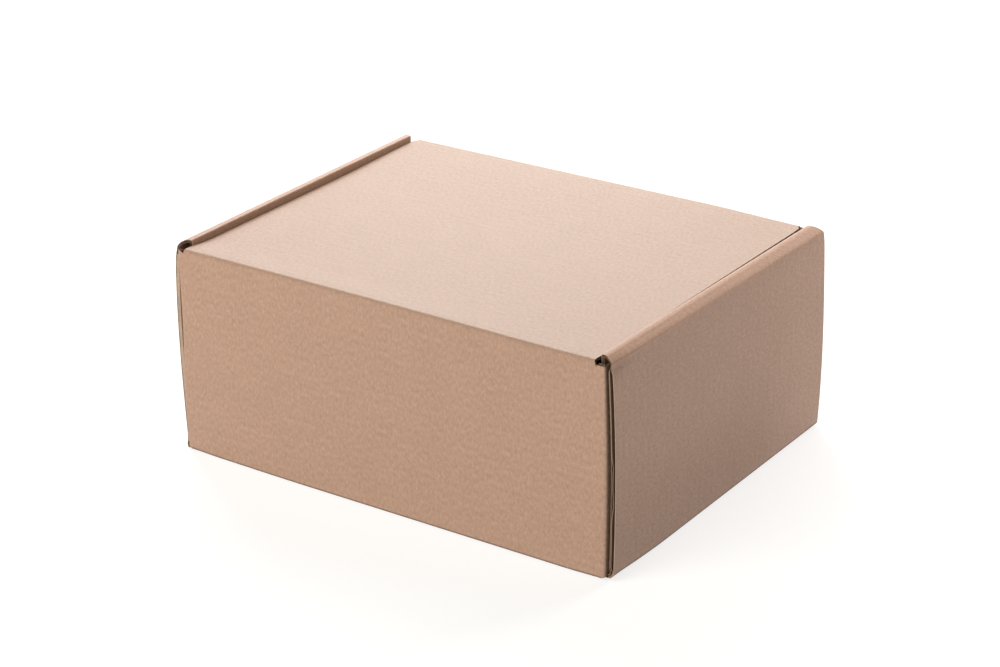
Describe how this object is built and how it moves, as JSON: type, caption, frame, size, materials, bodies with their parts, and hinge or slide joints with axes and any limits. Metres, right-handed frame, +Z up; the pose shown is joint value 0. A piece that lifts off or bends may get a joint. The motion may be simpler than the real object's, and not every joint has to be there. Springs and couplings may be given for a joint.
{
  "type": "cardboard shipping box",
  "caption": "Closed roll-end mailer carton of plain single-wall corrugated board, with double rolled side walls and a hinged lid whose flap tucks in behind the front wall.",
  "frame": {"origin": "middle of the underside of the base", "axes": "+X along the long side, -Y towards the wall that the lid hinges on, +Z up"},
  "size_m": [0.3, 0.232, 0.1307],
  "materials": {
    "kraft_board": "plain uncoated brown kraft liner, matt",
    "kraft_board_lid": "plain uncoated brown kraft liner, matt"
  },
  "bodies": {
    "tray": {"tray": "kraft_board"},
    "lid": {"lid": "kraft_board_lid"}
  },
  "joints": [
    {"name": "lid_hinge", "type": "hinge", "parent": "tray", "child": "lid", "pos_m": [0, -0.116, 0.127], "axis": [1, 0, 0], "range_deg": [0, 175]}
  ]
}
